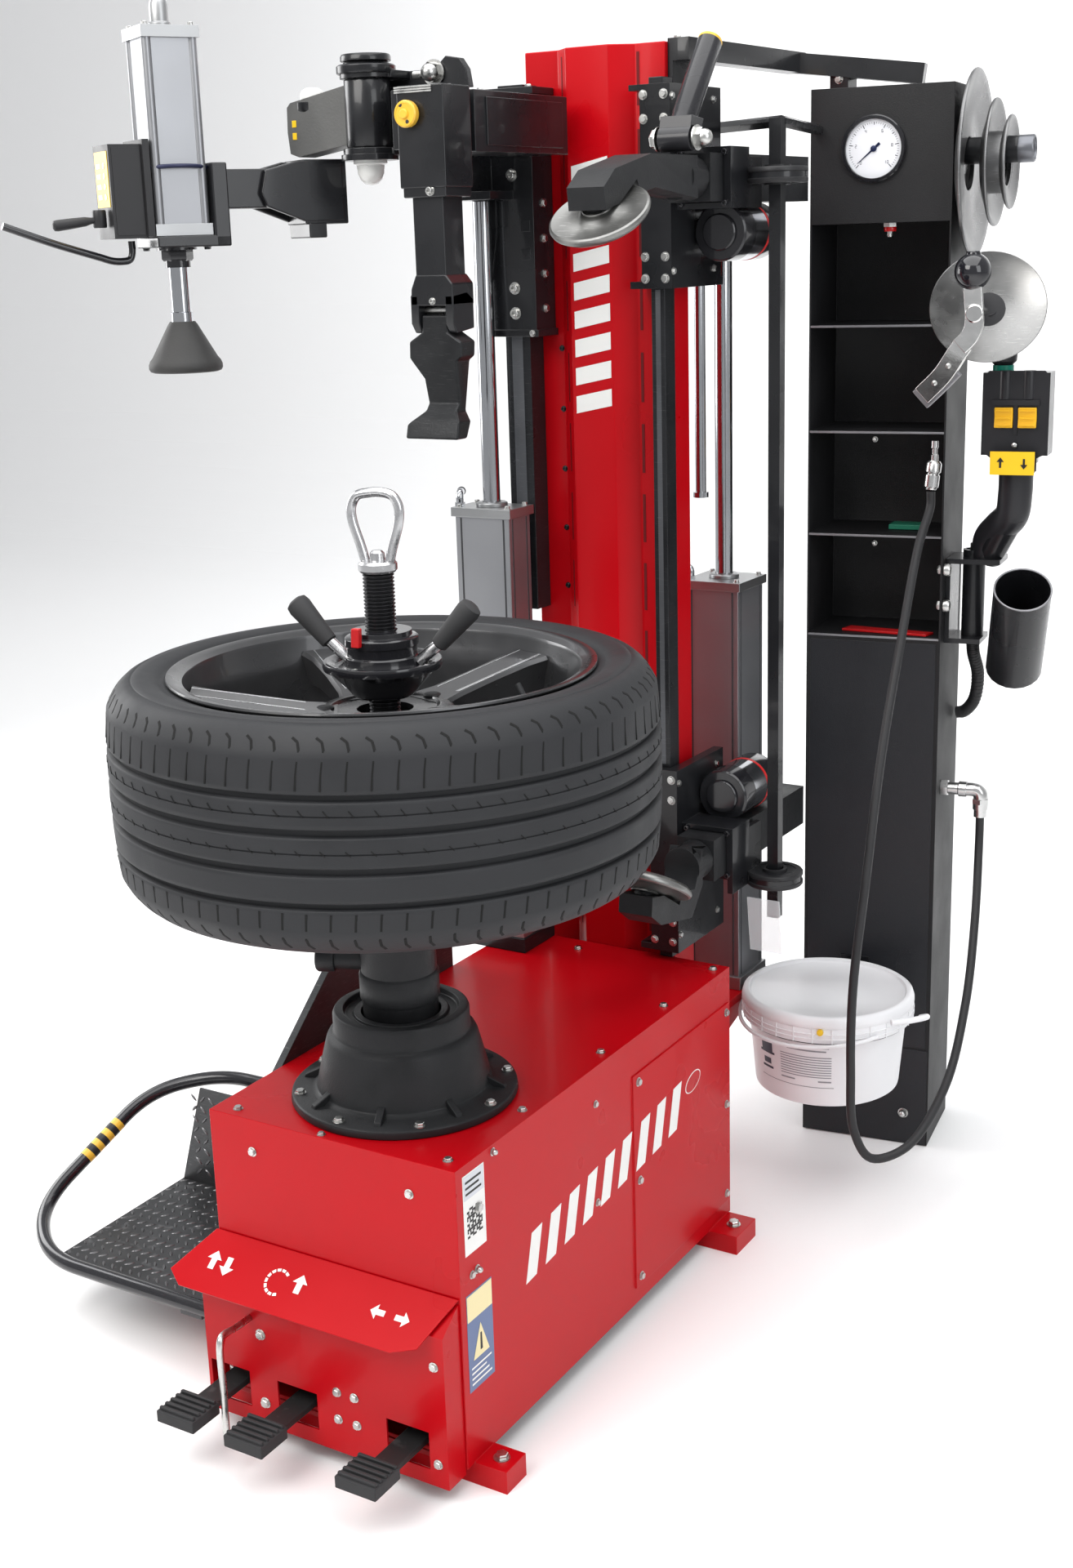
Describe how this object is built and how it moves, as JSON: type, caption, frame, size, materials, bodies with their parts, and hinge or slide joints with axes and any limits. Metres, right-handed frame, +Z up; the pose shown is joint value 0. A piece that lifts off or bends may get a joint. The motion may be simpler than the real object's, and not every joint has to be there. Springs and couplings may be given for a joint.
{
  "type": "tyre changer",
  "caption": "Leverless workshop tyre changer with a clamped wheel, pedal chassis, column with lifting carriages, bead press, bead discs, tool cabinet and wheel lift.",
  "frame": {"origin": "middle of the object's box on the floor, under and behind the clamped wheel", "axes": "+X to the operator's right, towards the tool cabinet; +Y from the operator towards the column; +Z up"},
  "size_m": [1.2502, 1.5898, 1.864],
  "materials": {
    "red_paint": "gloss",
    "black_paint": "satin",
    "black_casting": "satin",
    "grey_casting": "satin",
    "bright_steel": "satin",
    "alloy": "satin",
    "black_rubber": "matte",
    "tyre_rubber": "matte",
    "yellow_plastic": "satin",
    "white_plastic": "satin",
    "red_plastic": "gloss",
    "black_plastic": "matte"
  },
  "bodies": {
    "machine": {"chassis_shell": "red_paint", "pedal_housing": "red_paint", "pedal_cover": "red_paint", "drive_unit": "black_casting", "bell_housing": "black_casting", "column": "red_paint", "column_base": "red_paint", "rail_left": "black_paint", "rail_right": "black_paint", "cylinder_left": "alloy", "cylinder_right": "alloy", "cabinet_shell": "black_paint", "cone_peg": "black_paint", "air_elbow": "bright_steel", "bucket_ring": "black_paint", "gauge": "white_plastic", "control_stand": "black_paint", "tube_holder": "black_plastic", "mirror": "bright_steel", "control_hose": "black_rubber", "air_hose": "black_rubber", "air_chuck": "bright_steel", "top_brace": "black_paint", "sync_bar": "black_paint", "lift_panel": "black_paint"},
    "spindle": {"spindle_tube": "black_casting", "rim": "grey_casting", "rim_centre": "grey_casting", "tyre": "tyre_rubber", "clamp_screw": "bright_steel"},
    "clamp": {"clamp_nut": "black_plastic"},
    "clamp_release": {"nut_button": "red_plastic"},
    "pedal_left": {"pedal_1": "black_rubber"},
    "pedal_middle": {"pedal_2": "black_rubber"},
    "pedal_right": {"pedal_3": "black_rubber"},
    "tool_carriage": {"left_carriage": "black_paint"},
    "tool_head": {"tool_sleeve": "black_paint", "tool_hook": "black_casting"},
    "tool_stop": {"tool_knob": "yellow_plastic"},
    "press_link": {"swing_link": "grey_casting"},
    "press_arm": {"swing_arm": "black_paint", "press_cylinder": "alloy", "press_control": "black_plastic"},
    "press_foot": {"press_rod": "bright_steel", "press_cone": "black_rubber"},
    "press_valve": {"press_lever": "black_plastic"},
    "disc_carriage_upper": {"upper_carriage": "black_paint"},
    "disc_arm_upper": {"upper_arm": "black_paint"},
    "disc_upper": {"upper_disc": "grey_casting"},
    "disc_lever": {"disc_handle": "black_plastic"},
    "disc_carriage_lower": {"lower_carriage": "black_paint"},
    "disc_arm_lower": {"lower_arm": "black_paint"},
    "disc_lower": {"lower_disc": "grey_casting"},
    "pressure_needle": {"gauge_needle": "black_plastic"},
    "button_left": {"rocker_left": "yellow_plastic"},
    "button_right": {"rocker_right": "yellow_plastic"},
    "lift_arm": {"wheel_lift": "black_paint"},
    "cones": {"cone_large": "grey_casting", "cone_medium": "grey_casting"},
    "paste_bucket": {"bucket": "white_plastic"}
  },
  "joints": [
    {"name": "spindle_turn", "type": "hinge", "parent": "machine", "child": "spindle", "pos_m": [0.0738, -0.44491, 0.8], "axis": [0, 0, 1], "continuous": true},
    {"name": "clamp_lift", "type": "slide", "parent": "spindle", "child": "clamp", "axis": [0, 0, 1], "range_m": [0, 0.06]},
    {"name": "clamp_release_pull", "type": "slide", "parent": "clamp", "child": "clamp_release", "axis": [0, 0, 1], "range_m": [0, 0.006], "stiffness_N_per_m": 100, "springref_m": -0.004},
    {"name": "pedal_left_press", "type": "hinge", "parent": "machine", "child": "pedal_left", "pos_m": [-0.0902, -0.55291, 0.074], "axis": [1, 0, 0], "range_deg": [0, 7], "stiffness_Nm_per_rad": 20, "springref_deg": -8.59},
    {"name": "pedal_middle_press", "type": "hinge", "parent": "machine", "child": "pedal_middle", "pos_m": [0.0228, -0.55291, 0.074], "axis": [1, 0, 0], "range_deg": [0, 7], "stiffness_Nm_per_rad": 20, "springref_deg": -8.59},
    {"name": "pedal_right_press", "type": "hinge", "parent": "machine", "child": "pedal_right", "pos_m": [0.1998, -0.55291, 0.074], "axis": [1, 0, 0], "range_deg": [0, 7], "stiffness_Nm_per_rad": 20, "springref_deg": -8.59},
    {"name": "tool_lift", "type": "slide", "parent": "machine", "child": "tool_carriage", "axis": [0, 0, 1], "range_m": [-0.24, 0]},
    {"name": "tool_tilt", "type": "hinge", "parent": "tool_carriage", "child": "tool_head", "pos_m": [-0.0002, -0.16691, 1.712], "axis": [1, 0, 0], "range_deg": [-5, 12]},
    {"name": "tool_stop_turn", "type": "hinge", "parent": "tool_head", "child": "tool_stop", "pos_m": [-0.0162, -0.20691, 1.71], "axis": [0, 1, 0], "range_deg": [-45, 45]},
    {"name": "link_swing", "type": "hinge", "parent": "tool_carriage", "child": "press_link", "pos_m": [-0.1212, -0.14491, 1.7], "axis": [0, 0, 1], "range_deg": [-20, 10]},
    {"name": "press_swing", "type": "hinge", "parent": "press_link", "child": "press_arm", "pos_m": [-0.2182, -0.13891, 1.64], "axis": [0, 0, 1], "range_deg": [-40, 40]},
    {"name": "press_stroke", "type": "slide", "parent": "press_arm", "child": "press_foot", "axis": [0, 0, -1], "range_m": [0, 0.09]},
    {"name": "press_valve_turn", "type": "hinge", "parent": "press_arm", "child": "press_valve", "pos_m": [-0.36827, -0.41484, 1.591], "axis": [0, 0, 1], "range_deg": [-10, 10], "stiffness_Nm_per_rad": 0.5},
    {"name": "disc_lift_upper", "type": "slide", "parent": "machine", "child": "disc_carriage_upper", "axis": [0, 0, 1], "range_m": [-0.45, 0]},
    {"name": "disc_reach_upper", "type": "slide", "parent": "disc_carriage_upper", "child": "disc_arm_upper", "axis": [0, 1, 0], "range_m": [-0.1, 0]},
    {"name": "disc_spin_upper", "type": "hinge", "parent": "disc_arm_upper", "child": "disc_upper", "pos_m": [0.2298, -0.13891, 1.574], "axis": [0, -0.5299, 0.848], "continuous": true},
    {"name": "disc_lever_turn", "type": "hinge", "parent": "disc_arm_upper", "child": "disc_lever", "pos_m": [0.2298, 0.08009, 1.6745], "axis": [1, 0, 0], "range_deg": [-12, 12]},
    {"name": "disc_lift_lower", "type": "slide", "parent": "machine", "child": "disc_carriage_lower", "axis": [0, 0, 1], "range_m": [-0.01, 0.05]},
    {"name": "disc_reach_lower", "type": "slide", "parent": "disc_carriage_lower", "child": "disc_arm_lower", "axis": [0, 1, 0], "range_m": [-0.1, 0]},
    {"name": "disc_spin_lower", "type": "hinge", "parent": "disc_arm_lower", "child": "disc_lower", "pos_m": [0.2298, -0.04091, 0.648], "axis": [0, -0.5299, -0.848], "continuous": true},
    {"name": "needle_turn", "type": "hinge", "parent": "machine", "child": "pressure_needle", "pos_m": [0.32283, 0.55701, 1.667], "axis": [-0.1392, 0.9903, 0], "range_deg": [0, 260], "stiffness_Nm_per_rad": 0.001, "springref_deg": -17.19},
    {"name": "button_left_rock", "type": "hinge", "parent": "machine", "child": "button_left", "pos_m": [0.53388, 0.57859, 1.262], "axis": [0.9903, 0.1392, 0], "range_deg": [-8, 8], "stiffness_Nm_per_rad": 0.3},
    {"name": "button_right_rock", "type": "hinge", "parent": "machine", "child": "button_right", "pos_m": [0.56953, 0.5836, 1.262], "axis": [0.9903, 0.1392, 0], "range_deg": [-8, 8], "stiffness_Nm_per_rad": 0.3},
    {"name": "lift_swing", "type": "hinge", "parent": "machine", "child": "lift_arm", "pos_m": [-0.1402, -0.18291, 0.262], "axis": [0, 1, 0], "range_deg": [0, 60]},
    {"name": "cones_slide", "type": "slide", "parent": "machine", "child": "cones", "axis": [0.9903, 0.1392, 0], "range_m": [0, 0.09]},
    {"name": "bucket_lift", "type": "slide", "parent": "machine", "child": "paste_bucket", "axis": [0, 0, 1], "range_m": [0, 0.12]}
  ],
  "couplings": [
    {"joint": "disc_reach_lower", "follows": "disc_reach_upper", "ratio": 1}
  ]
}
